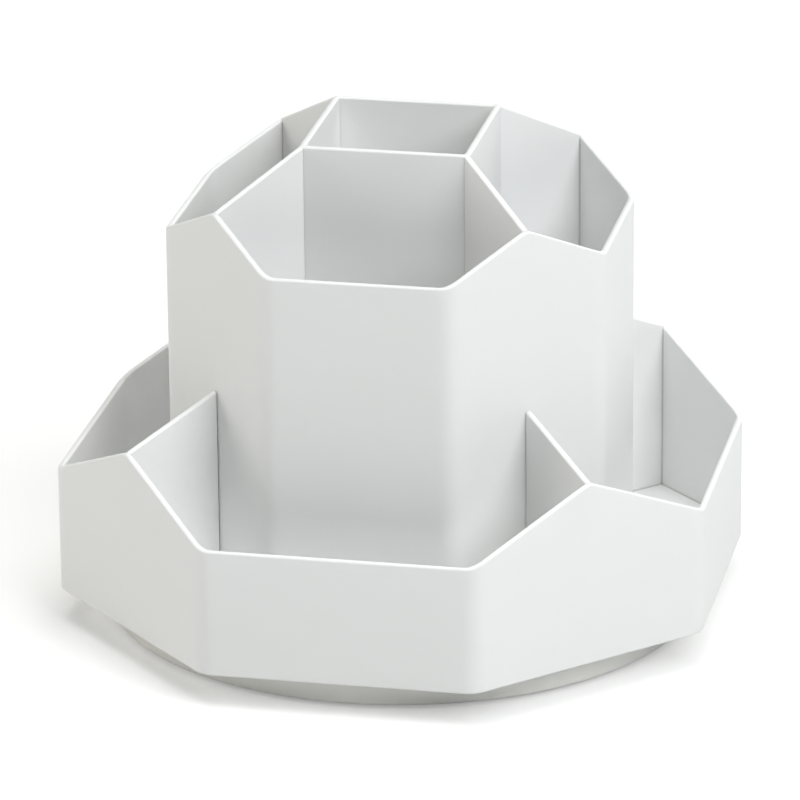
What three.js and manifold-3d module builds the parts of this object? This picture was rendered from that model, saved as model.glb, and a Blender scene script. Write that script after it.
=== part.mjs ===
// Two-tier desk organizer on a ball-bearing turntable.
// Millimetres, +Z up. The origin is on the turntable's axis, on the surface that the feet stand on.

import * as THREE from 'three';
import { mergeVertices } from 'three/addons/utils/BufferGeometryUtils.js';
import { ConvexGeometry } from 'three/addons/geometries/ConvexGeometry.js';
import Module from 'manifold-3d';

const wasm = await Module();
wasm.setup();

// ---- driving dimensions --------------------------------------------------------------------------

// mouldings: an octagon's apothem is measured to the outer face of its flat sides
const wall = 1.8;
const floorThickness = 2.0;
const cornerRadius = 8.0;
const trayApothem = 93.0;
const towerApothem = 62.9;
const tubeHalfWidth = 24.3;

// heights above the underside of the tray's wall, each rise going up from the one before it
const trayHeight = 37.0;
const trayRimRise = 16.6;
const trayDividerRise = 12.2;
const towerHeight = 106.5;
const towerRimRise = 11.7;
const tubeRise = 14.1;

// turntable
const footProtrusion = 0.8;
const baseInset = 7.5;
const baseWall = 2.2;
const baseFloor = 2.4;
const baseEdge = 0.8;
const bossRadius = 10.0;
const skirtDepth = 1.7;
const ballRadius = 2.0;
const ballSeat = 0.875;
const ballCount = 12;
const raceWidth = 12.0;
const raceThickness = 1.8;
const plateThickness = 2.0;
const plateEdgeGap = 8.0;
const pinRadius = 3.0;
const pinHeadRadius = 6.0;
const pinHeadHeight = 1.2;
const bushWall = 2.0;
const washerRadius = 8.0;
const washerThickness = 0.5;
const clipWidth = 2.6;
const clipThickness = 0.6;
const clipGrooveDepth = 0.8;
const screwRadius = 1.5;
const screwTipRadius = 0.9;
const screwHeadRadius = 2.8;
const screwHeadHeight = 1.7;
const screwHeadEdge = 0.56;
const screwDepth = 6.0;
const screwBossRadius = 4.0;
const screwBossHeight = 7.0;
const crossWidth = 0.6;
const crossDepth = 0.8;
const footCount = 6;
const footRadius = 6.0;
const footThickness = 2.0;
const footEdge = 0.5;
const footInset = 11.5;

// ---- clearances ----------------------------------------------------------------------------------

const seatGap = 0.05;        // between faces that rest on each other
const slipGap = 0.3;         // between a moulding and what it is set into
const turntableGap = 0.8;    // between the base disc's rim and the tray's skirt
const ballGap = 0.1;         // between a ball and its groove
const cageHoleGap = 0.25;    // between a ball and its hole in the cage
const runningGap = 0.05;     // between the pin and the bush
const screwHoleGap = 0.2;    // between a screw and the holes that it passes
const threadGap = 0.05;      // between a screw and its own hole in the tower
const screwTipGap = 0.5;     // between a screw's tip and the end of its hole
const headToRace = 4.2;      // between a screw's head and the races
const cageGap = 0.525;       // between the cage and each race
const cageInset = 1.0;       // between the cage's edges and the races' edges
const bossGap = 0.6;         // between the base disc's boss and the plate
const bushEndGap = 0.2;      // bush above that boss, and above the plate
const washerRoom = 2.0;      // around the washer, in the tray's floor
const pinEnd = 0.3;          // pin above its clip

// ---- sizes worked out from them ------------------------------------------------------------------

const baseRadius = trayApothem - baseInset;
const footCircle = baseRadius - footInset;
const screwCircle = (tubeHalfWidth * Math.SQRT2 + towerApothem - wall) / 2;
const ballCircle = screwCircle + screwHeadRadius + headToRace + raceWidth / 2;
const raceInner = ballCircle - raceWidth / 2;
const raceOuter = ballCircle + raceWidth / 2;
const raceGap = 2 * (ballRadius - ballSeat);
const footPocketDepth = footThickness - footProtrusion;

// levels, from the desk upwards
const baseBottom = footProtrusion;
const lowerRaceBottom = baseBottom + baseFloor + seatGap;
const lowerRaceTop = lowerRaceBottom + raceThickness;
const upperRaceBottom = lowerRaceTop + raceGap;
const upperRaceTop = upperRaceBottom + raceThickness;
const ballLevel = (lowerRaceTop + upperRaceBottom) / 2;
const plateBottom = upperRaceTop + seatGap;
const plateTop = plateBottom + plateThickness;
const trayFloorBottom = plateTop + seatGap;
const trayFloorTop = trayFloorBottom + floorThickness;
const towerBottom = trayFloorTop + seatGap;
const towerFloorTop = towerBottom + floorThickness;
const skirtBottom = trayFloorBottom - skirtDepth;
const baseTop = skirtBottom - turntableGap;

const bossTop = plateBottom - bossGap;
const bushTop = plateTop + bushEndGap;
const washerBottom = bushTop + seatGap;
const clipBottom = washerBottom + washerThickness + seatGap;
const clipTop = clipBottom + clipThickness;

const trayRimLow = skirtBottom + trayHeight;
const trayRimPeak = trayRimLow + trayRimRise;
const trayDividerTop = trayRimPeak + trayDividerRise;
const towerRimLow = skirtBottom + towerHeight;
const towerRimPeak = towerRimLow + towerRimRise;
const tubeTop = towerRimPeak + tubeRise;

// ---- solids: closed triangle meshes joined and cut ------------------------------------------------

function solid(geometry) {
  geometry.deleteAttribute('normal');
  geometry.deleteAttribute('uv');
  const merged = mergeVertices(geometry, 1e-4);
  return new wasm.Manifold(new wasm.Mesh({
    numProp: 3,
    vertProperties: new Float32Array(merged.attributes.position.array),
    triVerts: new Uint32Array(merged.index.array),
  }));
}

function geometryOf(manifold) {
  const mesh = manifold.getMesh();
  const geometry = new THREE.BufferGeometry();
  geometry.setAttribute('position', new THREE.BufferAttribute(mesh.vertProperties, 3));
  geometry.setIndex(new THREE.BufferAttribute(mesh.triVerts, 1));
  geometry.computeVertexNormals();
  return geometry;
}

// steps around a whole turn, by size, and along the short arcs
const steps = { large: 72, medium: 48, small: 24, tiny: 12 };
const cornerSteps = 3;
const grooveSteps = 4;
const ballSteps = [10, 6];

// how far a cutting solid goes past the face that it cuts through
const cutPast = 1;

function cylinder(radius, bottom, top, x, y, around) {
  const geometry = new THREE.CylinderGeometry(radius, radius, top - bottom, around);
  geometry.rotateX(Math.PI / 2);
  geometry.translate(x, y, (bottom + top) / 2);
  return solid(geometry);
}

// a profile of [radius, level] points that closes on itself, turned about the Z axis
function turned(profile, around) {
  const points = [...profile, profile[0]].map(([radius, level]) => new THREE.Vector2(radius, level));
  const geometry = new THREE.LatheGeometry(points, around);
  geometry.rotateX(Math.PI / 2);
  return solid(geometry);
}

function ring(inner, outer, bottom, top, around) {
  return turned([[inner, bottom], [outer, bottom], [outer, top], [inner, top]], around);
}

// ---- octagon plan ---------------------------------------------------------------------------------

const eighthTurn = Math.PI / 4;
const diagonalAngles = [0, 1, 2, 3].map((i) => eighthTurn + 2 * i * eighthTurn);

const octagonHalfSide = (apothem) => apothem * Math.tan(eighthTurn / 2);

// regular octagon with flat sides square to X and Y and rounded corners
function octagon(apothem, radius) {
  const shape = new THREE.Shape();
  const toCentre = (apothem - radius) / Math.cos(eighthTurn / 2);
  for (let i = 0; i < 8; i += 1) {
    const direction = (i + 0.5) * eighthTurn;
    const x = toCentre * Math.cos(direction);
    const y = toCentre * Math.sin(direction);
    shape.absarc(x, y, radius, direction - eighthTurn / 2, direction + eighthTurn / 2, false);
  }
  shape.closePath();
  return shape;
}

function octagonPrism(apothem, radius, bottom, top) {
  const geometry = new THREE.ExtrudeGeometry(octagon(apothem, radius), {
    depth: top - bottom,
    bevelEnabled: false,
    curveSegments: cornerSteps,
  });
  geometry.translate(0, 0, bottom);
  return solid(geometry);
}

// What is cut away above one low stretch of rim: level over a straight-on side, and climbing along
// half of each diagonal side beside it.
function rimCutter(apothem, low, peak, top) {
  const half = octagonHalfSide(apothem);
  const slope = (peak - low) / half;
  const reach = 2 * wall + cornerRadius;
  const along = Math.SQRT1_2;
  const points = [];
  for (const side of [-1, 1]) {
    // the side's corner and its middle, both carried in and out along the wall's normal
    for (const carry of [-reach, reach]) {
      const cornerX = side * (half + carry * along);
      const cornerY = -(apothem + carry * along);
      const middleX = cornerX + side * half * along;
      const middleY = cornerY + half * along;
      points.push(new THREE.Vector3(cornerX, cornerY, low));
      points.push(new THREE.Vector3(cornerX, cornerY, top));
      points.push(new THREE.Vector3(middleX, middleY, low + slope * half));
      points.push(new THREE.Vector3(middleX, middleY, top));
    }
  }
  return solid(new ConvexGeometry(points));
}

// octagonal wall whose rim is low on the straight-on sides and peaks on the diagonal ones
function peakedWall(apothem, bottom, low, peak) {
  const outer = octagonPrism(apothem, cornerRadius, bottom, peak);
  const inner = octagonPrism(apothem - wall, cornerRadius - wall, bottom - cutPast, peak + cutPast);
  let result = outer.subtract(inner);
  const cutter = rimCutter(apothem, low, peak, peak + cutPast);
  for (let quarter = 0; quarter < 4; quarter += 1) {
    result = result.subtract(cutter.rotate([0, 0, quarter * 90]));
  }
  return result;
}

// upright divider along a diagonal: a four-cornered outline in radius and level, one wall thick
function divider(angle, inner, outer, bottom, topInner, topOuter) {
  const outline = new THREE.Shape([
    new THREE.Vector2(inner, bottom),
    new THREE.Vector2(outer, bottom),
    new THREE.Vector2(outer, topOuter),
    new THREE.Vector2(inner, topInner),
  ]);
  const geometry = new THREE.ExtrudeGeometry(outline, { depth: wall, bevelEnabled: false });
  geometry.translate(0, 0, -wall / 2);
  geometry.rotateX(Math.PI / 2);
  geometry.rotateZ(angle);
  return solid(geometry);
}

// upright round holes from one level to another
function drilled(body, radius, bottom, top, places, around) {
  let result = body;
  for (const [x, y] of places) {
    result = result.subtract(cylinder(radius, bottom, top, x, y, around));
  }
  return result;
}

function drilledThrough(body, radius, bottom, top, places, around) {
  return drilled(body, radius, bottom - cutPast, top + cutPast, places, around);
}

function box(width, depth, bottom, top, y = 0) {
  const geometry = new THREE.BoxGeometry(width, depth, top - bottom);
  geometry.translate(0, y, (bottom + top) / 2);
  return solid(geometry);
}

// ---- mouldings ------------------------------------------------------------------------------------

const screwPlaces = diagonalAngles.map((a) => [screwCircle * Math.cos(a), screwCircle * Math.sin(a)]);

// octagonal floor that reaches to the middle of its wall
function octagonFloor(apothem, bottom, top) {
  return octagonPrism(apothem - wall / 2, cornerRadius - wall / 2, bottom, top);
}

function makeTray() {
  let tray = peakedWall(trayApothem, skirtBottom, trayRimLow, trayRimPeak);
  tray = tray.add(octagonFloor(trayApothem, trayFloorBottom, trayFloorTop));
  const inner = towerApothem + slipGap;
  const outer = trayApothem - wall / 2;
  for (const angle of diagonalAngles) {
    tray = tray.add(divider(angle, inner, outer, trayFloorBottom, trayDividerTop, trayRimPeak));
  }
  const pinHole = washerRadius + washerRoom;
  const screwHole = screwRadius + screwHoleGap;
  tray = drilledThrough(tray, pinHole, trayFloorBottom, trayFloorTop, [[0, 0]], steps.small);
  return drilledThrough(tray, screwHole, trayFloorBottom, trayFloorTop, screwPlaces, steps.tiny);
}

function makeTower() {
  let tower = peakedWall(towerApothem, towerBottom, towerRimLow, towerRimPeak);
  tower = tower.add(octagonFloor(towerApothem, towerBottom, towerFloorTop));
  const inner = (tubeHalfWidth - wall / 2) * Math.SQRT2;
  const outer = towerApothem - wall / 2;
  for (const angle of diagonalAngles) {
    tower = tower.add(divider(angle, inner, outer, towerBottom, tubeTop, towerRimPeak));
  }
  for (const [x, y] of screwPlaces) {
    const bossTopLevel = towerBottom + screwBossHeight;
    tower = tower.add(cylinder(screwBossRadius, towerBottom, bossTopLevel, x, y, steps.tiny));
  }
  const tubeWidth = 2 * tubeHalfWidth;
  const tubeInside = tubeWidth - 2 * wall;
  tower = tower.add(box(tubeWidth, tubeWidth, towerBottom, tubeTop));
  tower = tower.subtract(box(tubeInside, tubeInside, towerFloorTop, tubeTop + cutPast));
  const holeTop = towerBottom + screwDepth;
  return drilled(tower, screwRadius + threadGap, towerBottom - cutPast, holeTop, screwPlaces, steps.tiny);
}

// ---- turntable ------------------------------------------------------------------------------------

// round-bottomed ball groove, as profile points from its inner lip to its outer lip
function groove(level, upward) {
  const grooveRadius = ballRadius + ballGap;
  const rise = Math.abs(ballLevel - level);
  const halfAngle = Math.acos(rise / grooveRadius);
  const points = [];
  for (let i = 0; i <= grooveSteps; i += 1) {
    const angle = -halfAngle + (2 * halfAngle * i) / grooveSteps;
    const x = ballCircle + grooveRadius * Math.sin(angle);
    points.push([x, ballLevel - upward * grooveRadius * Math.cos(angle)]);
  }
  return points;
}

function makeLowerRace() {
  const track = groove(lowerRaceTop, 1).reverse();
  return turned([
    [raceInner, lowerRaceBottom],
    [raceOuter, lowerRaceBottom],
    [raceOuter, lowerRaceTop],
    ...track,
    [raceInner, lowerRaceTop],
  ], steps.medium);
}

function makeUpperRace() {
  return turned([
    [raceInner, upperRaceTop],
    [raceInner, upperRaceBottom],
    ...groove(upperRaceBottom, -1),
    [raceOuter, upperRaceBottom],
    [raceOuter, upperRaceTop],
  ], steps.medium);
}

// points spaced evenly around a circle, the first one turned by a share of the spacing
function spacedPlaces(count, radius, share) {
  return Array.from({ length: count }, (_, i) => {
    const angle = (2 * Math.PI * (i + share)) / count;
    return [radius * Math.cos(angle), radius * Math.sin(angle)];
  });
}

const ballPlaces = spacedPlaces(ballCount, ballCircle, 0);
const footPlaces = spacedPlaces(footCount, footCircle, 0.5);

function makeBall() {
  const ball = new THREE.SphereGeometry(ballRadius, ...ballSteps);
  ball.rotateX(Math.PI / 2);
  ball.translate(0, 0, ballLevel);
  return solid(ball);
}

function makeCage() {
  const bottom = lowerRaceTop + cageGap;
  const top = upperRaceBottom - cageGap;
  const cage = ring(raceInner + cageInset, raceOuter - cageInset, bottom, top, steps.medium);
  return drilledThrough(cage, ballRadius + cageHoleGap, bottom, top, ballPlaces, steps.tiny);
}

// dish with a raised centre boss, round pockets for the feet and a stepped hole for the pin
function makeBaseDisc() {
  const floorTop = baseBottom + baseFloor;
  let disc = turned([
    [pinRadius + seatGap, baseBottom],
    [baseRadius - baseEdge, baseBottom],
    [baseRadius, baseBottom + baseEdge],
    [baseRadius, baseTop - baseEdge],
    [baseRadius - baseEdge, baseTop],
    [baseRadius - baseWall, baseTop],
    [baseRadius - baseWall, floorTop],
    [bossRadius, floorTop],
    [bossRadius, bossTop],
    [pinRadius + seatGap, bossTop],
  ], steps.large);
  const below = baseBottom - cutPast;
  const pinPocketTop = baseBottom + pinHeadHeight + seatGap;
  const footPocketTop = baseBottom + footPocketDepth + seatGap;
  disc = drilled(disc, pinHeadRadius + slipGap, below, pinPocketTop, [[0, 0]], steps.small);
  return drilled(disc, footRadius + slipGap, below, footPocketTop, footPlaces, steps.small);
}

function makePlate() {
  const radius = trayApothem - wall - plateEdgeGap;
  const hole = pinRadius + bushWall + seatGap;
  const plate = ring(hole, radius, plateBottom, plateTop, steps.medium);
  return drilledThrough(plate, screwRadius + screwHoleGap, plateBottom, plateTop, screwPlaces, steps.tiny);
}

function makeBush() {
  const inner = pinRadius + runningGap;
  return ring(inner, pinRadius + bushWall, bossTop + bushEndGap, bushTop, steps.small);
}

function makeWasher() {
  const top = washerBottom + washerThickness;
  return ring(pinRadius + runningGap, washerRadius, washerBottom, top, steps.small);
}

// pin with a flat head below and a groove for the clip above
function makePin() {
  const grooveRadius = pinRadius - clipGrooveDepth;
  return turned([
    [0, baseBottom],
    [pinHeadRadius, baseBottom],
    [pinHeadRadius, baseBottom + pinHeadHeight],
    [pinRadius, baseBottom + pinHeadHeight],
    [pinRadius, clipBottom - seatGap],
    [grooveRadius, clipBottom - seatGap],
    [grooveRadius, clipTop + seatGap],
    [pinRadius, clipTop + seatGap],
    [pinRadius, clipTop + pinEnd],
    [0, clipTop + pinEnd],
  ], steps.small);
}

// flat ring, open on one side as wide as its own bore
function makeClip() {
  const inner = pinRadius - clipGrooveDepth + seatGap;
  const outer = pinRadius + clipWidth;
  const clip = ring(inner, outer, clipBottom, clipTop, steps.small);
  const reach = outer + cutPast;
  const mouth = box(2 * inner, reach, clipBottom - cutPast, clipTop + cutPast, -reach / 2);
  return clip.subtract(mouth);
}

// pan-head screw with a cross recess, driven upwards
function makeScrew() {
  const headTop = plateBottom - seatGap;
  const headBottom = headTop - screwHeadHeight;
  const shankTop = towerBottom + screwDepth - screwTipGap;
  let screw = turned([
    [0, headBottom],
    [screwHeadRadius - screwHeadEdge, headBottom],
    [screwHeadRadius, headBottom + screwHeadEdge],
    [screwHeadRadius, headTop],
    [screwRadius, headTop],
    [screwRadius, shankTop - screwRadius + screwTipRadius],
    [screwTipRadius, shankTop],
    [0, shankTop],
  ], steps.tiny);
  const crossLength = 2 * screwRadius;
  for (const [width, depth] of [[crossLength, crossWidth], [crossWidth, crossLength]]) {
    screw = screw.subtract(box(width, depth, headBottom - cutPast, headBottom + crossDepth));
  }
  return screw;
}

function makeFoot() {
  return turned([
    [0, 0],
    [footRadius - footEdge, 0],
    [footRadius, footEdge],
    [footRadius, footThickness],
    [0, footThickness],
  ], steps.small);
}

// ---- materials and assembly -----------------------------------------------------------------------

const finishes = {
  shell: { color: 0xeceded, roughness: 0.42, metalness: 0 },
  base: { color: 0xe6e5df, roughness: 0.5, metalness: 0 },
  plate: { color: 0xd9dad8, roughness: 0.55, metalness: 0 },
  cage: { color: 0xf2f2ee, roughness: 0.45, metalness: 0 },
  steel: { color: 0xb9bcc0, roughness: 0.28, metalness: 1 },
  bush: { color: 0xf4f3ea, roughness: 0.4, metalness: 0 },
  rubber: { color: 0x3a3b3d, roughness: 0.85, metalness: 0 },
};

const organizer = new THREE.Group();

function addPiece(name, geometry, finish, x = 0, y = 0) {
  const mesh = new THREE.Mesh(geometry, new THREE.MeshStandardMaterial(finishes[finish]));
  mesh.name = name;
  mesh.position.set(x, y, 0);
  organizer.add(mesh);
}

addPiece('tray', geometryOf(makeTray()), 'shell');
addPiece('tower', geometryOf(makeTower()), 'shell');
addPiece('turntable_plate', geometryOf(makePlate()), 'plate');
addPiece('upper_race', geometryOf(makeUpperRace()), 'steel');
addPiece('centre_bush', geometryOf(makeBush()), 'bush');
addPiece('base_disc', geometryOf(makeBaseDisc()), 'base');
addPiece('lower_race', geometryOf(makeLowerRace()), 'steel');
addPiece('pivot_pin', geometryOf(makePin()), 'steel');
addPiece('thrust_washer', geometryOf(makeWasher()), 'steel');
addPiece('retaining_clip', geometryOf(makeClip()), 'steel');
addPiece('ball_cage', geometryOf(makeCage()), 'cage');

ballPlaces.forEach(([x, y], i) => {
  addPiece(`ball_${String(i + 1).padStart(2, '0')}`, geometryOf(makeBall()), 'steel', x, y);
});

screwPlaces.forEach(([x, y], i) => {
  addPiece(`tower_screw_${i + 1}`, geometryOf(makeScrew()), 'steel', x, y);
});

footPlaces.forEach(([x, y], i) => {
  addPiece(`foot_${i + 1}`, geometryOf(makeFoot()), 'rubber', x, y);
});

export default organizer;
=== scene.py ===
import math

import bmesh
import bpy
from mathutils import Matrix, Vector


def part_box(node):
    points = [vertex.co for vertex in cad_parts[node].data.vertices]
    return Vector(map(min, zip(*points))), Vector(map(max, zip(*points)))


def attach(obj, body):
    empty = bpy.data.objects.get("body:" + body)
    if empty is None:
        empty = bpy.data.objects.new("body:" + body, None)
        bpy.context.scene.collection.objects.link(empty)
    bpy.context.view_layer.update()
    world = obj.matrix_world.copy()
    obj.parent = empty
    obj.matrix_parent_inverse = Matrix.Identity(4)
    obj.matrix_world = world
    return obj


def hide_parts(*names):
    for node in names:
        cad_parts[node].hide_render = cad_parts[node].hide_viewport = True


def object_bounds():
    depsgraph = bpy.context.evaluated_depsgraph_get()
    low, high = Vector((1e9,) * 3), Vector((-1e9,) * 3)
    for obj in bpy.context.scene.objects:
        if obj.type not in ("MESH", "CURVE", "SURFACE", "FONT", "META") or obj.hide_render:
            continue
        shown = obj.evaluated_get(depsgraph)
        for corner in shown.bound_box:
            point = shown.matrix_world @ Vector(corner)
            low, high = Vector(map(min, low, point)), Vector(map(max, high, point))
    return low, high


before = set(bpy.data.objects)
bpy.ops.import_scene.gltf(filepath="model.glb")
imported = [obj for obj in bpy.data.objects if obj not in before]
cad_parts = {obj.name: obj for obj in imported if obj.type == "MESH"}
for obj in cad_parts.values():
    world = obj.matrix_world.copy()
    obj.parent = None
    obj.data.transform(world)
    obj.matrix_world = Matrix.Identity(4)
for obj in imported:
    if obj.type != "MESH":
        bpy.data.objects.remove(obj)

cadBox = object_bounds()
mm = 0.001

print("frame loaded:", len(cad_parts), "nodes")


# --- small helpers for node trees

def addNode(tree, kind, inputs=None, **settings):
    node = tree.nodes.new(kind)
    for key, value in settings.items():
        setattr(node, key, value)
    for key, value in (inputs or {}).items():
        if isinstance(value, bpy.types.NodeSocket):
            tree.links.new(value, node.inputs[key])
        else:
            node.inputs[key].default_value = value
    return node


def mathOf(tree, operation, a, b=0.0, c=0.0):
    return addNode(tree, "ShaderNodeMath", {0: a, 1: b, 2: c}, operation=operation).outputs[0]


def vectorOf(tree, **parts):
    return addNode(tree, "ShaderNodeCombineXYZ", parts).outputs[0]


def startTree(name, floats, others=None):
    # a geometry tree with one named float input for each size
    tree = bpy.data.node_groups.new(name, "GeometryNodeTree")
    for label in floats:
        tree.interface.new_socket(label, in_out="INPUT", socket_type="NodeSocketFloat")
    for label, kind in (others or {}).items():
        tree.interface.new_socket(label, in_out="INPUT", socket_type=kind)
    tree.interface.new_socket("Finish", in_out="INPUT", socket_type="NodeSocketMaterial")
    tree.interface.new_socket("Geometry", in_out="OUTPUT", socket_type="NodeSocketGeometry")
    return tree, tree.nodes.new("NodeGroupInput").outputs, tree.nodes.new("NodeGroupOutput")


creaseAngle = math.radians(30)


def finishTree(tree, geometry, inputs, output, angle=creaseAngle):
    # smooth except where faces meet at a sharp angle, then real geometry and its material
    faceAngle = addNode(tree, "GeometryNodeInputMeshEdgeAngle").outputs["Unsigned Angle"]
    soft = mathOf(tree, "LESS_THAN", faceAngle, angle)
    smooth = addNode(tree, "GeometryNodeSetShadeSmooth", {"Geometry": geometry}, domain="FACE")
    edges = addNode(tree, "GeometryNodeSetShadeSmooth",
                    {"Geometry": smooth.outputs[0], "Shade Smooth": soft}, domain="EDGE")
    real = addNode(tree, "GeometryNodeRealizeInstances", {"Geometry": edges.outputs[0]})
    done = addNode(tree, "GeometryNodeSetMaterial",
                   {"Geometry": real.outputs[0], "Material": inputs["Finish"]})
    tree.links.new(done.outputs[0], output.inputs["Geometry"])


def growPiece(name, tree, sizes, finish):
    # run the tree once and keep the result as a plain mesh
    holder = bpy.data.objects.new(name + "Holder", bpy.data.meshes.new(name + "Holder"))
    bpy.context.scene.collection.objects.link(holder)
    modifier = holder.modifiers.new("grow", "NODES")
    modifier.node_group = tree
    for item in tree.interface.items_tree:
        if item.in_out == "INPUT" and item.name in sizes:
            isFloat = item.socket_type == "NodeSocketFloat"
            modifier[item.identifier] = float(sizes[item.name]) if isFloat else sizes[item.name]
        if item.in_out == "INPUT" and item.name == "Finish":
            modifier[item.identifier] = finish
    view = bpy.context.evaluated_depsgraph_get()
    mesh = bpy.data.meshes.new_from_object(holder.evaluated_get(view), depsgraph=view)
    bpy.data.objects.remove(holder)
    mesh.name = name
    piece = bpy.data.objects.new(name, mesh)
    bpy.context.scene.collection.objects.link(piece)
    print("made", name, len(mesh.polygons), "faces")
    return piece


def settle(piece, body, slot, *nodes):
    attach(piece, body)
    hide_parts(*nodes)


# --- finishes: shared effects first

def startGroup(name, inputs, outputs):
    # a shader group whose inputs and outputs are all plain numbers
    tree = bpy.data.node_groups.new(name, "ShaderNodeTree")
    for label in inputs:
        tree.interface.new_socket(label, in_out="INPUT", socket_type="NodeSocketFloat")
    for label in outputs:
        tree.interface.new_socket(label, in_out="OUTPUT", socket_type="NodeSocketFloat")
    return tree, tree.nodes.new("NodeGroupInput").outputs, tree.nodes.new("NodeGroupOutput").inputs


def placeOf(tree):
    return addNode(tree, "ShaderNodeTexCoord").outputs["Object"]


def rangeOf(tree, value, lowest, highest, low, high, **settings):
    return addNode(tree, "ShaderNodeMapRange",
                   {"Value": value, "From Min": lowest, "From Max": highest, "To Min": low, "To Max": high},
                   **settings).outputs["Result"]


def blend(tree, factor, first, second):
    # one colour over another; a colour is a socket or three numbers
    node = addNode(tree, "ShaderNodeMix", {"Factor": factor}, data_type="RGBA")
    for key, colour in (("A", first), ("B", second)):
        if isinstance(colour, bpy.types.NodeSocket):
            tree.links.new(colour, node.inputs[key])
        else:
            node.inputs[key].default_value = (*colour, 1)
    return node.outputs["Result"]


grainSizes = dict(grainDetail=3.0, grainRoughness=0.6, cloudDetail=4.0, cloudRoughness=0.55,
                  speckleInside=0.04, speckleOutside=0.10)


def makeMouldGrain():
    # fine spark texture, slow flow clouds and faint speckle of a moulded surface
    g = grainSizes
    tree, inputs, outputs = startGroup("mouldGrain", ("Grain Scale", "Cloud Scale", "Speckle Scale"),
                                       ("Grain", "Cloud", "Speckle"))
    place = placeOf(tree)
    grain = addNode(tree, "ShaderNodeTexNoise",
                    {"Vector": place, "Scale": inputs["Grain Scale"], "Detail": g["grainDetail"],
                     "Roughness": g["grainRoughness"]})
    cloud = addNode(tree, "ShaderNodeTexNoise",
                    {"Vector": place, "Scale": inputs["Cloud Scale"], "Detail": g["cloudDetail"],
                     "Roughness": g["cloudRoughness"]})
    speckle = addNode(tree, "ShaderNodeTexVoronoi", {"Vector": place, "Scale": inputs["Speckle Scale"]})
    dot = rangeOf(tree, speckle.outputs["Distance"], g["speckleInside"], g["speckleOutside"], 1.0, 0.0)
    tree.links.new(grain.outputs["Fac"], outputs["Grain"])
    tree.links.new(cloud.outputs["Fac"], outputs["Cloud"])
    tree.links.new(dot, outputs["Speckle"])
    return tree


def makeSinkLine():
    # how near a point is to the diagonals, where the dividers' roots draw the wall in
    tree, inputs, outputs = startGroup("sinkLine", ("Width",), ("Depth",))
    parts = addNode(tree, "ShaderNodeSeparateXYZ", {"Vector": placeOf(tree)}).outputs
    across = mathOf(tree, "ABSOLUTE", mathOf(
        tree, "SUBTRACT", mathOf(tree, "ABSOLUTE", parts["X"]), mathOf(tree, "ABSOLUTE", parts["Y"])))
    near = rangeOf(tree, mathOf(tree, "MULTIPLY", across, math.sqrt(0.5)), 0.0, inputs["Width"], 1.0, 0.0,
                   interpolation_type="SMOOTHSTEP")
    tree.links.new(near, outputs["Depth"])
    return tree


# the surface's bend runs from 0 in a sharp groove over 0.5 on the flat to 1 on a sharp edge
wearStarts, wearFull, wearDetail = 0.52, 0.62, 2.0


def makeEdgeWear():
    # pale, slightly polished edges, found from the surface's own curvature
    tree, inputs, outputs = startGroup("edgeWear", ("Break Scale", "Amount"), ("Wear",))
    breaks = addNode(tree, "ShaderNodeTexNoise",
                     {"Vector": placeOf(tree), "Scale": inputs["Break Scale"], "Detail": wearDetail})
    bend = addNode(tree, "ShaderNodeNewGeometry").outputs["Pointiness"]
    edge = rangeOf(tree, bend, wearStarts, wearFull, 0.0, 1.0)
    wear = mathOf(tree, "MULTIPLY", edge, breaks.outputs["Fac"])
    tree.links.new(mathOf(tree, "MULTIPLY", wear, inputs["Amount"]), outputs["Wear"])
    return tree


# share of open space around a point: about half in an inside corner, nearly all on a flat wall
cornerOpen, wallOpen, cornerSamples = 0.5, 0.9, 8


def makeCornerShade():
    # painted shade: darkens the inside corners, where less light reaches
    tree, inputs, outputs = startGroup("paintedCornerShade", ("Reach", "Amount"), ("Painted Shade",))
    closeness = addNode(tree, "ShaderNodeAmbientOcclusion", {"Distance": inputs["Reach"]},
                        samples=cornerSamples, only_local=True)
    paintedShade = rangeOf(tree, closeness.outputs["AO"], cornerOpen, wallOpen, inputs["Amount"], 0.0)
    tree.links.new(paintedShade, outputs["Painted Shade"])
    return tree


mouldGrain = makeMouldGrain()
sinkLine = makeSinkLine()
edgeWear = makeEdgeWear()
paintedCornerShade = makeCornerShade()


def placeGroup(tree, group, values):
    node = addNode(tree, "ShaderNodeGroup", node_tree=group)
    for key, value in values.items():
        node.inputs[key].default_value = value
    return node.outputs


def startFinish(name, look):
    # a material with its grain and its edge wear
    material = bpy.data.materials.new(name)
    material.use_nodes = True
    tree = material.node_tree
    grain = placeGroup(tree, mouldGrain, {
        "Grain Scale": look["grainScale"], "Cloud Scale": look["cloudScale"],
        "Speckle Scale": look["speckleScale"]})
    wear = placeGroup(tree, edgeWear, {"Break Scale": look["breakScale"], "Amount": look["wear"]})["Wear"]
    return material, tree, tree.nodes["Principled BSDF"], grain, wear


def raiseSurface(tree, shader, height):
    # heights are in metres
    bump = addNode(tree, "ShaderNodeBump", {"Height": height, "Strength": 1.0, "Distance": 1.0})
    tree.links.new(bump.outputs["Normal"], shader.inputs["Normal"])


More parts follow.
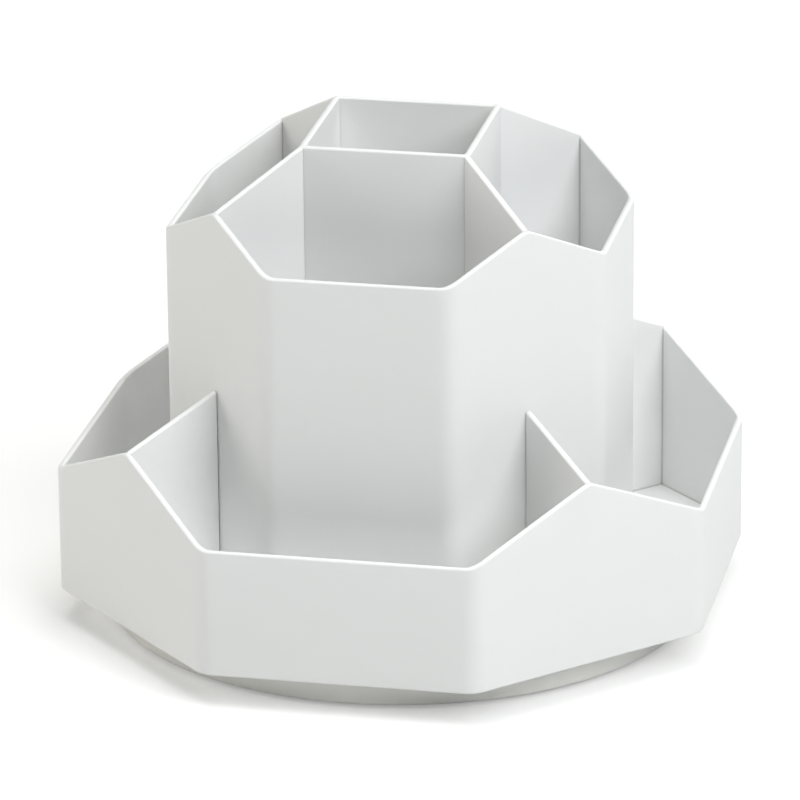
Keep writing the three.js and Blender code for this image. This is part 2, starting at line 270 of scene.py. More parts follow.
def makePlastic(name, look):
    material, tree, shader, grain, wear = startFinish(name, look)
    body = blend(tree, grain["Cloud"], look["shade"], look["colour"])
    dotted = blend(tree, mathOf(tree, "MULTIPLY", grain["Speckle"], look["speckle"]), body,
                   look["speckleAndShadeColour"])
    worn = blend(tree, wear, dotted, look["edgeColour"])
    # painted shade: inside corners blended towards the dark speckle colour by how closed in they are
    paintedShade = placeGroup(tree, paintedCornerShade, {"Reach": look["shadeReach"], "Amount": look["paintedShade"]})["Painted Shade"]
    tree.links.new(blend(tree, paintedShade, worn, look["speckleAndShadeColour"]), shader.inputs["Base Color"])
    rough = rangeOf(tree, grain["Cloud"], look["cloudLow"], look["cloudHigh"],
                    look["roughness"] - look["roughSpread"], look["roughness"] + look["roughSpread"])
    polished = mathOf(tree, "SUBTRACT", rough, mathOf(tree, "MULTIPLY", wear, look["polish"]))
    tree.links.new(polished, shader.inputs["Roughness"])
    height = mathOf(tree, "MULTIPLY", grain["Grain"], look["grainHeight"])
    height = mathOf(tree, "ADD", height, mathOf(tree, "MULTIPLY", grain["Cloud"], look["cloudHeight"]))
    if "sinkDepth" in look:
        sink = placeGroup(tree, sinkLine, {"Width": look["sinkWidth"]})["Depth"]
        height = mathOf(tree, "SUBTRACT", height, mathOf(tree, "MULTIPLY", sink, look["sinkDepth"]))
    raiseSurface(tree, shader, height)
    return material


# the corner reach and amount set how far and how strongly inside corners are darkened as painted shade
plasticLook = dict(grainScale=2600.0, cloudScale=26.0, speckleScale=260.0, breakScale=400.0, wear=0.6,
                   speckle=0.05, grainHeight=0.000012, cloudHeight=0.00006, shadeReach=0.0009, paintedShade=0.7,
                   cloudLow=0.3, cloudHigh=0.7, roughSpread=0.04, polish=0.1)
shellLook = dict(plasticLook, colour=(0.895, 0.90, 0.897), shade=(0.875, 0.88, 0.873),
                 speckleAndShadeColour=(0.5, 0.49, 0.45), edgeColour=(0.95, 0.95, 0.945), roughness=0.42,
                 sinkWidth=0.0022, sinkDepth=0.00004)
baseLook = dict(plasticLook, colour=(0.93, 0.925, 0.895), shade=(0.91, 0.905, 0.865),
                speckleAndShadeColour=(0.48, 0.47, 0.43), edgeColour=(0.84, 0.84, 0.82), roughness=0.48, wear=0.15)
plateLook = dict(plasticLook, colour=(0.62, 0.62, 0.60), shade=(0.57, 0.57, 0.55),
                 speckleAndShadeColour=(0.42, 0.41, 0.39), edgeColour=(0.74, 0.74, 0.72), roughness=0.55)
cageLook = dict(plasticLook, colour=(0.80, 0.80, 0.77), shade=(0.75, 0.75, 0.72),
                speckleAndShadeColour=(0.55, 0.54, 0.5), edgeColour=(0.9, 0.9, 0.88), roughness=0.36)
bushLook = dict(plasticLook, colour=(0.82, 0.81, 0.74), shade=(0.77, 0.76, 0.69),
                speckleAndShadeColour=(0.56, 0.54, 0.48), edgeColour=(0.9, 0.89, 0.84), roughness=0.34)
rubberLook = dict(plasticLook, colour=(0.035, 0.035, 0.037), shade=(0.026, 0.026, 0.028),
                  speckleAndShadeColour=(0.09, 0.09, 0.09), edgeColour=(0.07, 0.07, 0.072), roughness=0.8,
                  grainScale=1500.0, grainHeight=0.00004, speckle=0.3)


def makeSteel(name, look):
    material, tree, shader, grain, wear = startFinish(name, look)
    shader.inputs["Metallic"].default_value = 1.0
    tone = blend(tree, grain["Cloud"], look["shade"], look["colour"])
    tree.links.new(blend(tree, wear, tone, look["edgeColour"]), shader.inputs["Base Color"])
    # turned rings around the axis
    rings = addNode(tree, "ShaderNodeTexWave",
                    {"Vector": placeOf(tree), "Scale": look["ringScale"], "Distortion": look["ringWaver"],
                     "Detail": look["ringDetail"]},
                    wave_type="RINGS", rings_direction="Z").outputs["Fac"]
    rough = rangeOf(tree, rings, 0.0, 1.0, look["smoothest"], look["roughest"])
    tree.links.new(rough, shader.inputs["Roughness"])
    height = mathOf(tree, "MULTIPLY", rings, look["ringHeight"])
    height = mathOf(tree, "ADD", height, mathOf(tree, "MULTIPLY", grain["Grain"], look["grainHeight"]))
    raiseSurface(tree, shader, height)
    return material


steelLook = dict(colour=(0.62, 0.63, 0.65), shade=(0.54, 0.55, 0.57), edgeColour=(0.78, 0.78, 0.79),
                 smoothest=0.22, roughest=0.33, grainScale=1800.0, cloudScale=60.0, speckleScale=300.0,
                 breakScale=500.0, wear=0.7, ringScale=900.0, ringWaver=1.5, ringDetail=2.0,
                 ringHeight=0.000004, grainHeight=0.000006)

shellFinish = makePlastic("shellPlastic", shellLook)
baseFinish = makePlastic("basePlastic", baseLook)
plateFinish = makePlastic("platePlastic", plateLook)
cageFinish = makePlastic("cagePlastic", cageLook)
bushFinish = makePlastic("bushPlastic", bushLook)
rubberFinish = makePlastic("footRubber", rubberLook)
steelFinish = makeSteel("turnedSteel", steelLook)
print("finishes made")


# --- tray and tower: octagonal walls whose rims follow one rule

shellSizes = dict(wall=1.8 * mm, floor=2.0 * mm, corner=8.0 * mm, rimEdge=0.75 * mm,
                  valleySoft=0.7 * mm, peakSoft=0.7 * mm, peakShare=0.6, step=1.0 * mm,
                  rimSteps=6, cornerSteps=16)
traySizes = dict(rimLow=37.0 * mm, rimPeak=53.6 * mm, dividerInner=65.8 * mm, floorUnder=1.7 * mm,
                 towerGap=0.3 * mm)
towerSizes = dict(rimLow=106.5 * mm, rimPeak=118.2 * mm, tubeHalf=24.3 * mm, tubeCorner=1.2 * mm,
                  tubeSteps=6)

trayLow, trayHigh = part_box("tray")
towerLow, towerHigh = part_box("tower")
discLow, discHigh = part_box("base_disc")
eighth = math.pi / 4
weldReach = 0.01 * mm


def rimLevel(tree, inputs):
    # level along a straight side, climbing to a peak in the middle of each diagonal one
    place = addNode(tree, "GeometryNodeInputPosition").outputs[0]
    parts = addNode(tree, "ShaderNodeSeparateXYZ", {"Vector": place}).outputs
    across = mathOf(tree, "SUBTRACT", mathOf(tree, "ABSOLUTE", parts["X"]),
                    mathOf(tree, "ABSOLUTE", parts["Y"]))
    offset = mathOf(tree, "MULTIPLY", across, math.sqrt(0.5))
    # rounded absolute value, so that the peak is soft
    squared = mathOf(tree, "MULTIPLY_ADD", offset, offset,
                     mathOf(tree, "MULTIPLY", inputs["Peak Soft"], inputs["Peak Soft"]))
    eased = mathOf(tree, "MULTIPLY", inputs["Peak Soft"], shellSizes["peakShare"])
    away = mathOf(tree, "SUBTRACT", mathOf(tree, "SQRT", squared), eased)
    half = mathOf(tree, "MULTIPLY", inputs["Apothem"], math.tan(eighth / 2))
    slope = mathOf(tree, "DIVIDE", mathOf(tree, "SUBTRACT", inputs["Rim Peak"], inputs["Rim Low"]), half)
    climb = mathOf(tree, "SUBTRACT", inputs["Rim Peak"], mathOf(tree, "MULTIPLY", away, slope))
    level = mathOf(tree, "SMOOTH_MAX", climb, inputs["Rim Low"], inputs["Valley Soft"])
    return mathOf(tree, "MINIMUM", level, inputs["Rim Peak"]), parts["Z"]


def wallProfile(tree, width, height, edgeSteps, edge):
    # strip with rounded corners; a sweep turns it so that its top is at zero and its foot hangs below
    box = addNode(tree, "GeometryNodeCurvePrimitiveQuadrilateral", {"Width": width, "Height": height})
    rounded = addNode(tree, "GeometryNodeFilletCurve",
                      {"Curve": box.outputs[0], "Count": edgeSteps, "Radius": edge}, mode="POLY")
    shift = vectorOf(tree, Y=mathOf(tree, "MULTIPLY", height, 0.5))
    return addNode(tree, "GeometryNodeTransform",
                   {"Geometry": rounded.outputs[0], "Translation": shift}).outputs[0]


def octagonPath(tree, apothem, corner, cornerSteps, step=None):
    reach = mathOf(tree, "DIVIDE", apothem, math.cos(eighth / 2))
    circle = addNode(tree, "GeometryNodeCurvePrimitiveCircle", {"Resolution": 8, "Radius": reach})
    turned = addNode(tree, "GeometryNodeTransform",
                     {"Geometry": circle.outputs[0], "Rotation": (0, 0, eighth / 2)})
    rounded = addNode(tree, "GeometryNodeFilletCurve",
                      {"Curve": turned.outputs[0], "Count": cornerSteps, "Radius": corner}, mode="POLY")
    if step is None:
        return rounded.outputs[0]
    return addNode(tree, "GeometryNodeResampleCurve",
                   {"Curve": rounded.outputs[0], "Length": step}, mode="LENGTH").outputs[0]


def buildShellTree(name, tubed):
    labels = ["Apothem", "Wall", "Corner", "Foot", "Rim Low", "Rim Peak", "Valley Soft", "Peak Soft",
              "Rim Edge", "Floor Bottom", "Floor Top", "Divider Start", "Divider Top", "Step"]
    if tubed:
        labels += ["Tube Half"]
    tree, inputs, output = startTree(name, labels)
    middle = mathOf(tree, "SUBTRACT", inputs["Apothem"], mathOf(tree, "MULTIPLY", inputs["Wall"], 0.5))
    cornerMiddle = mathOf(tree, "SUBTRACT", inputs["Corner"], mathOf(tree, "MULTIPLY", inputs["Wall"], 0.5))
    path = octagonPath(tree, middle, cornerMiddle, shellSizes["cornerSteps"], inputs["Step"])

    # the outer wall: a strip that stands on the foot level, with its top carried up to the rim
    height = mathOf(tree, "SUBTRACT", inputs["Rim Low"], inputs["Foot"])
    profile = wallProfile(tree, inputs["Wall"], height, shellSizes["rimSteps"], inputs["Rim Edge"])
    strip = addNode(tree, "GeometryNodeCurveToMesh", {"Curve": path, "Profile Curve": profile})
    level, z = rimLevel(tree, inputs)
    isTop = mathOf(tree, "GREATER_THAN", z, mathOf(tree, "MULTIPLY", height, -0.5))
    lift = addNode(tree, "GeometryNodeSwitch",
                   {"Switch": isTop, "False": inputs["Rim Low"], "True": level},
                   input_type="FLOAT").outputs[0]
    outer = addNode(tree, "GeometryNodeSetPosition",
                    {"Geometry": strip.outputs[0],
                     "Offset": vectorOf(tree, Z=lift)}).outputs[0]

    # the floor
    flat = addNode(tree, "GeometryNodeFillCurve",
                   {"Curve": octagonPath(tree, middle, cornerMiddle, shellSizes["cornerSteps"])},
                   mode="NGONS")
    thick = mathOf(tree, "SUBTRACT", inputs["Floor Top"], inputs["Floor Bottom"])
    slab = addNode(tree, "GeometryNodeExtrudeMesh",
                   {"Mesh": flat.outputs[0], "Offset Scale": thick, "Individual": False})
    under = addNode(tree, "GeometryNodeFlipFaces", {"Mesh": flat.outputs[0]})
    closed = addNode(tree, "GeometryNodeJoinGeometry")
    tree.links.new(slab.outputs["Mesh"], closed.inputs[0])
    tree.links.new(under.outputs[0], closed.inputs[0])
    welded = addNode(tree, "GeometryNodeMergeByDistance",
                     {"Geometry": closed.outputs[0], "Distance": weldReach})
    floor = addNode(tree, "GeometryNodeTransform",
                    {"Geometry": welded.outputs[0],
                     "Translation": vectorOf(tree, Z=inputs["Floor Bottom"])}).outputs[0]
    solids = [outer, floor]

    # the dividers, four turns of one
    run = mathOf(tree, "SUBTRACT", middle, inputs["Divider Start"])
    line = addNode(tree, "GeometryNodeCurvePrimitiveLine",
                   {"Start": vectorOf(tree, X=inputs["Divider Start"]),
                    "End": vectorOf(tree, X=middle)})
    dividerHeight = mathOf(tree, "SUBTRACT", inputs["Rim Peak"], inputs["Floor Bottom"])
    dividerProfile = wallProfile(tree, inputs["Wall"], dividerHeight, shellSizes["rimSteps"],
                                 inputs["Rim Edge"])
    blade = addNode(tree, "GeometryNodeCurveToMesh",
                    {"Curve": line.outputs[0], "Profile Curve": dividerProfile, "Fill Caps": True})
    place = addNode(tree, "GeometryNodeInputPosition").outputs[0]
    parts = addNode(tree, "ShaderNodeSeparateXYZ", {"Vector": place}).outputs
    share = mathOf(tree, "DIVIDE", mathOf(tree, "SUBTRACT", middle, parts["X"]), run)
    climb = mathOf(tree, "MULTIPLY", share,
                   mathOf(tree, "SUBTRACT", inputs["Divider Top"], inputs["Rim Peak"]))
    bladeTop = mathOf(tree, "ADD", inputs["Rim Peak"], climb)
    isBladeTop = mathOf(tree, "GREATER_THAN", parts["Z"], mathOf(tree, "MULTIPLY", dividerHeight, -0.5))
    bladeLift = addNode(tree, "GeometryNodeSwitch",
                        {"Switch": isBladeTop, "False": inputs["Rim Peak"], "True": bladeTop},
                        input_type="FLOAT").outputs[0]
    divider = addNode(tree, "GeometryNodeSetPosition",
                      {"Geometry": blade.outputs[0],
                       "Offset": vectorOf(tree, Z=bladeLift)}).outputs[0]
    for turn in range(4):
        solids.append(addNode(tree, "GeometryNodeTransform",
                              {"Geometry": divider, "Rotation": (0, 0, eighth * (2 * turn + 1))}).outputs[0])

    if tubed:
        side = mathOf(tree, "SUBTRACT", mathOf(tree, "MULTIPLY", inputs["Tube Half"], 2.0), inputs["Wall"])
        square = addNode(tree, "GeometryNodeCurvePrimitiveQuadrilateral", {"Width": side, "Height": side})
        eased = addNode(tree, "GeometryNodeFilletCurve",
                        {"Curve": square.outputs[0], "Count": towerSizes["tubeSteps"],
                         "Radius": towerSizes["tubeCorner"]}, mode="POLY")
        tubeHeight = mathOf(tree, "SUBTRACT", inputs["Divider Top"], inputs["Floor Bottom"])
        tubeProfile = wallProfile(tree, inputs["Wall"], tubeHeight, shellSizes["rimSteps"],
                                  inputs["Rim Edge"])
        tube = addNode(tree, "GeometryNodeCurveToMesh",
                       {"Curve": eased.outputs[0], "Profile Curve": tubeProfile})
        solids.append(addNode(tree, "GeometryNodeTransform",
                              {"Geometry": tube.outputs[0],
                               "Translation": vectorOf(tree, Z=inputs["Divider Top"])}).outputs[0])

    joined = addNode(tree, "GeometryNodeMeshBoolean", operation="UNION", solver="MANIFOLD")
    for solid in solids:
        tree.links.new(solid, joined.inputs["Mesh 2"])
    finishTree(tree, joined.outputs["Mesh"], inputs, output)
    return tree


def makeTray():
    foot = trayLow.z
    tree = buildShellTree("traySteps", False)
    sizes = {"Apothem": trayHigh.x, "Wall": shellSizes["wall"], "Corner": shellSizes["corner"], "Foot": foot,
             "Rim Low": foot + traySizes["rimLow"], "Rim Peak": foot + traySizes["rimPeak"],
             "Valley Soft": shellSizes["valleySoft"], "Peak Soft": shellSizes["peakSoft"],
             "Rim Edge": shellSizes["rimEdge"], "Floor Bottom": foot + traySizes["floorUnder"],
             "Floor Top": foot + traySizes["floorUnder"] + shellSizes["floor"],
             "Divider Start": towerHigh.x + traySizes["towerGap"],
             "Divider Top": foot + traySizes["dividerInner"],
             "Step": shellSizes["step"]}
    return growPiece("trayShell", tree, sizes, shellFinish)


def makeTower():
    foot = trayLow.z
    tree = buildShellTree("towerSteps", True)
    tubeHalf = towerSizes["tubeHalf"]
    sizes = {"Apothem": towerHigh.x, "Wall": shellSizes["wall"], "Corner": shellSizes["corner"],
             "Foot": towerLow.z, "Rim Low": foot + towerSizes["rimLow"],
             "Rim Peak": foot + towerSizes["rimPeak"],
             "Valley Soft": shellSizes["valleySoft"], "Peak Soft": shellSizes["peakSoft"],
             "Rim Edge": shellSizes["rimEdge"], "Floor Bottom": towerLow.z,
             "Floor Top": towerLow.z + shellSizes["floor"],
             "Divider Start": (tubeHalf - shellSizes["wall"] / 2) * math.sqrt(2), "Divider Top": towerHigh.z,
             "Step": shellSizes["step"], "Tube Half": tubeHalf}
    return growPiece("towerShell", tree, sizes, shellFinish)


settle(makeTray(), "organizer", "shell", "tray")
settle(makeTower(), "organizer", "shell", "tower")


# --- turned parts: a profile of (radius, level) points swept around the axis

# a rounded corner takes at most this share of a side; points closer than the reach count as one
easeShare, tinyReach = 0.45, 0.001 * mm


def easeCorners(points, ease, steps=4):
    # round every corner of a closed profile, but leave the points on the axis
    eased = []
    for i, point in enumerate(points):
        here, before, after = Vector(point), Vector(points[i - 1]), Vector(points[(i + 1) % len(points)])
        back, ahead = before - here, after - here
        reach = min(ease, back.length * easeShare, ahead.length * easeShare)
        if here.x < tinyReach:
            eased.append(tuple(here))
            continue
        start, end = here + back.normalized() * reach, here + ahead.normalized() * reach
        for step in range(steps + 1):
            t = step / steps
            eased.append(tuple((1 - t) ** 2 * start + 2 * t * (1 - t) * here + t * t * end))
    return eased


# edges sharper than this angle stay sharp; faces looking this nearly straight up or down are level
roundAngle = math.radians(35)
levelFlat = 0.9999


def shadeRound(mesh):
    # smooth around the turned faces, plain on the level ones
    mesh.shade_smooth()
    mesh.set_sharp_from_angle(angle=roundAngle)
    for face in mesh.polygons:
        if abs(face.normal.z) > levelFlat:
            face.use_smooth = False


def turnPiece(name, points, finish, steps=128):
    form = bmesh.new()
    rows = []
    for step in range(steps):
        a = 2 * math.pi * step / steps
        rows.append([form.verts.new((r * math.cos(a), r * math.sin(a), z)) for r, z in points])
    for row, after in zip(rows, rows[1:] + rows[:1]):
        for j in range(len(points)):
            k = (j + 1) % len(points)
            if points[j][0] > tinyReach or points[k][0] > tinyReach:
                form.faces.new((row[j], after[j], after[k], row[k]))
    bmesh.ops.remove_doubles(form, verts=form.verts, dist=tinyReach)
    bmesh.ops.dissolve_degenerate(form, edges=form.edges, dist=tinyReach / 10)
    bmesh.ops.recalc_face_normals(form, faces=form.faces)
    mesh = bpy.data.meshes.new(name)
    form.to_mesh(mesh)
    form.free()
    shadeRound(mesh)
    mesh.materials.append(finish)
    piece = bpy.data.objects.new(name, mesh)
    bpy.context.scene.collection.objects.link(piece)
    return piece


def ringProfile(inner, outer, bottom, top):
    return [(inner, bottom), (outer, bottom), (outer, top), (inner, top)]


def pegPiece(radius, bottom, top):
    return turnPiece("peg", [(0, bottom), (radius, bottom), (radius, top), (0, top)], baseFinish, steps=32)


def makeRepeatTree():
    # copies of one source part evenly around the axis
    tree, inputs, output = startTree("repeatAround", ["Circle Radius", "First Turn"],
                                     {"Source": "NodeSocketObject", "Count": "NodeSocketInt"})
    circle = addNode(tree, "GeometryNodeMeshCircle",
                     {"Vertices": inputs["Count"], "Radius": inputs["Circle Radius"]})
    turned = addNode(tree, "GeometryNodeTransform",
                     {"Geometry": circle.outputs[0], "Rotation": vectorOf(tree, Z=inputs["First Turn"])})
    source = addNode(tree, "GeometryNodeObjectInfo", {"Object": inputs["Source"]})
    copies = addNode(tree, "GeometryNodeInstanceOnPoints",
                     {"Points": turned.outputs[0], "Instance": source.outputs["Geometry"]})
    finishTree(tree, copies.outputs[0], inputs, output, roundAngle)
    return tree


repeatTree = makeRepeatTree()


def repeatPiece(name, source, finish, count, circle, turn=0.0):
    piece = growPiece(name, repeatTree, {"Circle Radius": circle, "First Turn": turn, "Source": source,
                                         "Count": count}, finish)
    bpy.data.objects.remove(source)
    return piece


def cutAway(piece, cutters):
    # take the cutters out of the piece and keep a plain mesh
    for cutter in cutters:
        modifier = piece.modifiers.new("cut", "BOOLEAN")
        modifier.solver = "EXACT"
        modifier.object = cutter
    view = bpy.context.evaluated_depsgraph_get()
    mesh = bpy.data.meshes.new_from_object(piece.evaluated_get(view), depsgraph=view)
    piece.modifiers.clear()
    piece.data = mesh
    shadeRound(mesh)
    for cutter in cutters:
        bpy.data.objects.remove(cutter)
    return piece


def drillPiece(piece, radius, bottom, top, count, circle, turn=0.0):
    holes = repeatPiece("holes", pegPiece(radius, bottom, top), baseFinish, count, circle, turn)
    return cutAway(piece, [holes])


# --- turntable

turntableSizes = dict(pin=3.0 * mm, pinHead=6.0 * mm, pinHeadHeight=1.2 * mm, running=0.05 * mm,
                      slip=0.3 * mm, dishWall=2.2 * mm, dishFloor=2.4 * mm, dishEdge=0.8 * mm, boss=10.0 * mm,
                      bossGap=0.6 * mm, pocketDepth=1.25 * mm, ballGap=0.1 * mm, raceWidth=12.0 * mm,
                      screwHole=1.7 * mm, clipGroove=0.8 * mm, seat=0.05 * mm, cageInset=1.0 * mm,
                      cageHoleGap=0.25 * mm, cutPast=1.0 * mm, footCount=6, ballCount=12, screwCount=4)
# how far each piece's edges are rounded
edgeSizes = dict(race=0.3 * mm, plate=0.3 * mm, foot=0.5 * mm, cage=0.25 * mm, screw=0.45 * mm,
                 pin=0.2 * mm, ring=0.12 * mm)
screwSizes = dict(shank=1.5 * mm, headHeight=1.7 * mm, crossHalf=0.3 * mm, crossDepth=0.8 * mm)
# how many straight pieces make the arc of a ball or of its groove
arcSteps = 16


def nodeCircle(nodeName):
    # distance from the axis to the middle of a node
    low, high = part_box(nodeName)
    return ((low + high) / 2).xy.length


def makeBaseDish():
    t = turntableSizes
    radius, bottom, top = discHigh.x, discLow.z, discHigh.z
    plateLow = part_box("turntable_plate")[0]
    bore = t["pin"] + t["seat"]
    bossTop = plateLow.z - t["bossGap"]
    pinPocket = t["pinHead"] + t["slip"]
    outline = [(bore, bottom + t["pocketDepth"]), (pinPocket, bottom + t["pocketDepth"]), (pinPocket, bottom),
               (radius, bottom), (radius, top), (radius - t["dishWall"], top),
               (radius - t["dishWall"], bottom + t["dishFloor"]), (t["boss"], bottom + t["dishFloor"]),
               (t["boss"], bossTop), (bore, bossTop)]
    dish = turnPiece("baseDish", easeCorners(outline, t["dishEdge"], steps=5), baseFinish, steps=256)
    footRadius = (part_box("foot_1")[1].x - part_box("foot_1")[0].x) / 2 + t["slip"]
    return drillPiece(dish, footRadius, bottom - t["cutPast"], bottom + t["pocketDepth"], t["footCount"],
                      nodeCircle("foot_1"), math.pi / t["footCount"])


def makeFeet():
    low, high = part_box("foot_1")
    radius = (high.x - low.x) / 2
    outline = [(0, low.z), (radius, low.z), (radius, high.z), (0, high.z)]
    foot = turnPiece("footSource", easeCorners(outline, edgeSizes["foot"], steps=5), rubberFinish, steps=64)
    return repeatPiece("rubberFeet", foot, rubberFinish, turntableSizes["footCount"], nodeCircle("foot_1"),
                       math.pi / turntableSizes["footCount"])


def makeRace(name, nodeName, side):
    # flat ring with a round ball groove; side is 1 where the groove looks up
    t = turntableSizes
    low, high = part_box(nodeName)
    ballLow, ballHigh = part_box("ball_01")
    circle = nodeCircle("ball_01")
    level = (ballLow.z + ballHigh.z) / 2
    face, back = (high.z, low.z) if side > 0 else (low.z, high.z)
    groove = (ballHigh.z - ballLow.z) / 2 + t["ballGap"]
    half = math.acos(abs(level - face) / groove)
    inner, outer = circle - t["raceWidth"] / 2, circle + t["raceWidth"] / 2
    flat = easeCorners([(outer, face), (outer, back), (inner, back), (inner, face)], edgeSizes["race"], steps=3)
    turns = [half * (2 * i / arcSteps - 1) for i in range(arcSteps + 1)]
    track = [(circle + groove * math.sin(a), level - side * groove * math.cos(a)) for a in turns]
    # the profile runs outer edge, back, inner edge, then the groove outwards
    return turnPiece(name, flat + track, steelFinish, steps=192)


def makeBalls():
    low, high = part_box("ball_01")
    radius, level = (high.z - low.z) / 2, (high.z + low.z) / 2
    turns = [math.pi * i / arcSteps for i in range(arcSteps + 1)]
    arc = [(radius * math.sin(a), level - radius * math.cos(a)) for a in turns]
    arc = [(0.0 if r < tinyReach else r, z) for r, z in arc]
    ball = turnPiece("ballSource", arc, steelFinish, steps=24)
    return repeatPiece("bearingBalls", ball, steelFinish, turntableSizes["ballCount"], nodeCircle("ball_01"))


def makeCage():
    low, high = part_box("ball_cage")
    t = turntableSizes
    width = t["raceWidth"] - 2 * t["cageInset"]
    outline = easeCorners(ringProfile(high.x - width, high.x, low.z, high.z), edgeSizes["cage"], steps=3)
    ballRadius = (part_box("ball_01")[1].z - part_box("ball_01")[0].z) / 2
    return drillPiece(turnPiece("ballCage", outline, cageFinish, steps=192), ballRadius + t["cageHoleGap"],
                      low.z - t["cutPast"], high.z + t["cutPast"], t["ballCount"], nodeCircle("ball_01"))


def makePlate():
    t = turntableSizes
    low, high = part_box("turntable_plate")
    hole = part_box("centre_bush")[1].x + t["seat"]
    outline = easeCorners(ringProfile(hole, high.x, low.z, high.z), edgeSizes["plate"], steps=3)
    return drillPiece(turnPiece("turntablePlate", outline, plateFinish, steps=192), t["screwHole"],
                      low.z - t["cutPast"], high.z + t["cutPast"], t["screwCount"],
                      nodeCircle("tower_screw_1"), eighth)


def makeScrews():
    low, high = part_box("tower_screw_1")
    head = (high.x - low.x) / 2
    shank, headHeight, cross = screwSizes["shank"], screwSizes["headHeight"], screwSizes["crossHalf"]
    outline = easeCorners([(0, low.z), (head, low.z), (head, low.z + headHeight), (shank, low.z + headHeight),
                           (shank, high.z), (0, high.z)], edgeSizes["screw"])
    screw = turnPiece("screwSource", outline, steelFinish, steps=48)
    slots = []
    for wide, deep in ((shank, cross), (cross, shank)):
        form = bmesh.new()
        bmesh.ops.create_cube(form, size=2.0)
        bmesh.ops.scale(form, vec=(wide, deep, screwSizes["crossDepth"]), verts=form.verts)
        bmesh.ops.translate(form, vec=(0, 0, low.z), verts=form.verts)
        mesh = bpy.data.meshes.new("slot")
        form.to_mesh(mesh)
        form.free()
        slot = bpy.data.objects.new("slot", mesh)
        bpy.context.scene.collection.objects.link(slot)
        slots.append(slot)
    return repeatPiece("towerScrews", cutAway(screw, slots), steelFinish, turntableSizes["screwCount"],
                       nodeCircle("tower_screw_1"), eighth)


def makePin():
    t = turntableSizes
    low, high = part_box("pivot_pin")
    clipLow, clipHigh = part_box("retaining_clip")
    neck = t["pin"] - t["clipGroove"]
    outline = [(0, low.z), (t["pinHead"], low.z), (t["pinHead"], low.z + t["pinHeadHeight"]),
               (t["pin"], low.z + t["pinHeadHeight"]), (t["pin"], clipLow.z - t["seat"]),
               (neck, clipLow.z - t["seat"]), (neck, clipHigh.z + t["seat"]),
               (t["pin"], clipHigh.z + t["seat"]), (t["pin"], high.z), (0, high.z)]
    return turnPiece("pivotPin", easeCorners(outline, edgeSizes["pin"], steps=3), steelFinish, steps=96)


def makeRing(name, nodeName, inner, finish):
    low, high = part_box(nodeName)
    outline = easeCorners(ringProfile(inner, high.x, low.z, high.z), edgeSizes["ring"], steps=3)
    return turnPiece(name, outline, finish, steps=96)


pinBore = turntableSizes["pin"] + turntableSizes["running"]
settle(makeBaseDish(), "base", "base", "base_disc")
settle(makeFeet(), "base", "rubber", *["foot_%d" % (i + 1) for i in range(6)])
settle(makeRace("lowerRace", "lower_race", 1), "base", "steel", "lower_race")
settle(makePin(), "base", "steel", "pivot_pin")
settle(makeRing("thrustWasher", "thrust_washer", pinBore, steelFinish), "base", "steel", "thrust_washer")
settle(makeRace("upperRace", "upper_race", -1), "organizer", "steel", "upper_race")
settle(makePlate(), "organizer", "plate", "turntable_plate")
settle(makeRing("centreBush", "centre_bush", pinBore, bushFinish), "organizer", "bush", "centre_bush")
settle(makeScrews(), "organizer", "steel", *["tower_screw_%d" % (i + 1) for i in range(4)])
settle(makeCage(), "ball_ring", "cage", "ball_cage")
settle(makeBalls(), "ball_ring", "steel", *["ball_%02d" % (i + 1) for i in range(12)])

# the clip keeps its own shape and only takes its finish
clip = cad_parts["retaining_clip"]
clip.data.materials.clear()
clip.data.materials.append(steelFinish)
print("turntable finished")


# --- floor, light and camera

stageLook = dict(floorSize=6.0, floorDrop=0.0002, floorColour=(0.77, 0.77, 0.76),
                 floorShade=(0.76, 0.76, 0.75), floorScale=3.0, floorDetail=2.0, floorRoughness=0.9,
                 floorGlow=0.30, fill=0.06, backdrop=0.95)
lampLook = dict(key=dict(azimuth=57, elevation=43, power=48.0, colour=(0.965, 0.985, 1.0)),
                left=dict(azimuth=-85, elevation=18, power=26.0, colour=(1.0, 0.985, 0.93)),
                rear=dict(azimuth=160, elevation=15, power=22.0, colour=(1.0, 0.995, 0.98)),
                top=dict(azimuth=0, elevation=85, power=36.0, colour=(0.99, 0.99, 0.985)))
lampDistance, lampSize = 2.6, 2.0


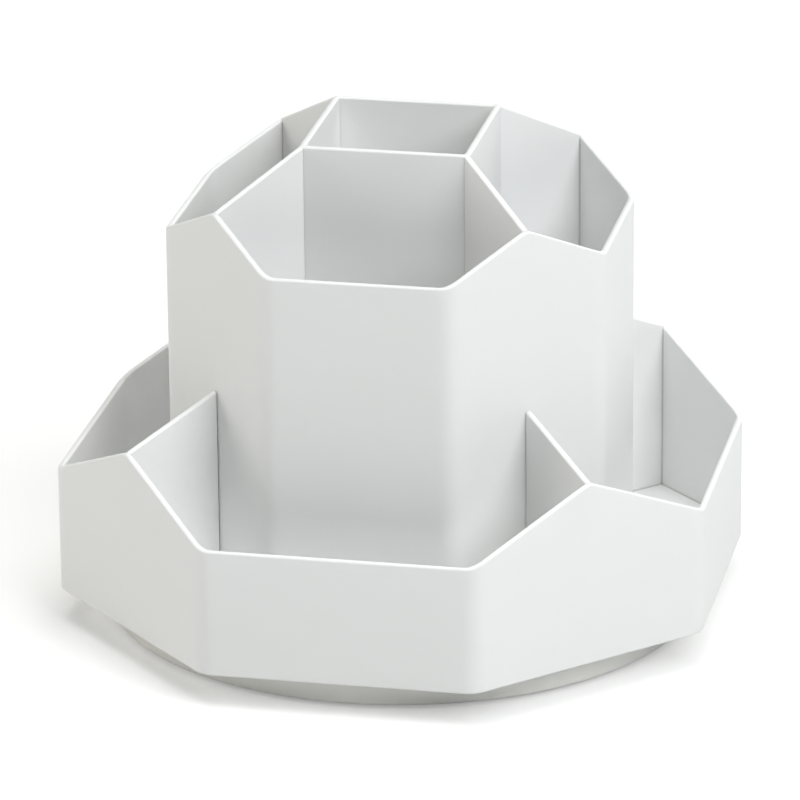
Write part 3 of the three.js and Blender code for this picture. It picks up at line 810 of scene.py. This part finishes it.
def makeStage():
    half = stageLook["floorSize"] / 2
    mesh = bpy.data.meshes.new("floor")
    level = -stageLook["floorDrop"]
    corners = [(-half, -half, level), (half, -half, level), (half, half, level), (-half, half, level)]
    mesh.from_pydata(corners, [], [(0, 1, 2, 3)])
    floor = bpy.data.objects.new("floor", mesh)
    bpy.context.scene.collection.objects.link(floor)
    material = bpy.data.materials.new("paleFloor")
    material.use_nodes = True
    tree = material.node_tree
    noise = addNode(tree, "ShaderNodeTexNoise",
                    {"Vector": placeOf(tree), "Scale": stageLook["floorScale"],
                     "Detail": stageLook["floorDetail"]})
    shader = tree.nodes["Principled BSDF"]
    tree.links.new(blend(tree, noise.outputs["Fac"], stageLook["floorShade"], stageLook["floorColour"]),
                   shader.inputs["Base Color"])
    shader.inputs["Roughness"].default_value = stageLook["floorRoughness"]
    shader.inputs["Emission Color"].default_value = (1, 1, 1, 1)
    # lifted towards white only where it is looked at, so that little light comes back up from it
    seen = addNode(tree, "ShaderNodeLightPath").outputs["Is Camera Ray"]
    tree.links.new(mathOf(tree, "MULTIPLY", seen, stageLook["floorGlow"]), shader.inputs["Emission Strength"])
    mesh.materials.append(material)
    world = bpy.data.worlds.new("studio")
    world.use_nodes = True
    # a pale backdrop to look at, which itself gives almost no light
    seen = addNode(world.node_tree, "ShaderNodeLightPath").outputs["Is Camera Ray"]
    strength = mathOf(world.node_tree, "MULTIPLY_ADD", seen, stageLook["backdrop"], stageLook["fill"])
    background = world.node_tree.nodes["Background"]
    background.inputs["Color"].default_value = (1, 1, 1, 1)
    world.node_tree.links.new(strength, background.inputs["Strength"])
    bpy.context.scene.world = world


def makeLamps():
    middle = Vector((0, 0, cadBox[1].z / 2))
    for name, look in lampLook.items():
        lamp = bpy.data.lights.new(name, "AREA")
        lamp.shape = "DISK"
        lamp.size = lampSize
        lamp.energy = look["power"]
        lamp.color = look["colour"]
        holder = bpy.data.objects.new(name, lamp)
        bpy.context.scene.collection.objects.link(holder)
        a, e = math.radians(look["azimuth"]), math.radians(look["elevation"])
        away = Vector((math.sin(a) * math.cos(e), -math.cos(a) * math.cos(e), math.sin(e)))
        holder.location = middle + away * lampDistance
        holder.rotation_euler = away.to_track_quat("Z", "Y").to_euler()


cameraLook = dict(azimuth=11.63, elevation=20.52, roll=-0.505, lens=266.6, sensor=36.0, farthest=50.0,
                  distance=1.7146, aimRight=-0.00129, aimUp=0.04642)


def makeCamera():
    a, e = math.radians(cameraLook["azimuth"]), math.radians(cameraLook["elevation"])
    r = math.radians(cameraLook["roll"])
    ahead = Vector((-math.sin(a) * math.cos(e), math.cos(a) * math.cos(e), -math.sin(e)))
    level = Vector((math.cos(a), math.sin(a), 0))
    rise = level.cross(ahead)
    right = math.cos(r) * level + math.sin(r) * rise
    up = math.cos(r) * rise - math.sin(r) * level
    aim = right * cameraLook["aimRight"] + up * cameraLook["aimUp"] + Vector((0, 0, trayLow.z))
    camera = bpy.data.cameras.new("camera")
    camera.lens = cameraLook["lens"]
    camera.sensor_width = cameraLook["sensor"]
    camera.clip_end = cameraLook["farthest"]
    holder = bpy.data.objects.new("camera", camera)
    bpy.context.scene.collection.objects.link(holder)
    turn = Matrix((right, up, -ahead)).transposed().to_4x4()
    holder.matrix_world = Matrix.Translation(aim - ahead * cameraLook["distance"]) @ turn
    bpy.context.scene.camera = holder


makeStage()
makeLamps()
makeCamera()
bpy.context.scene.view_settings.view_transform = "Standard"
print("stage, lamps and camera set")
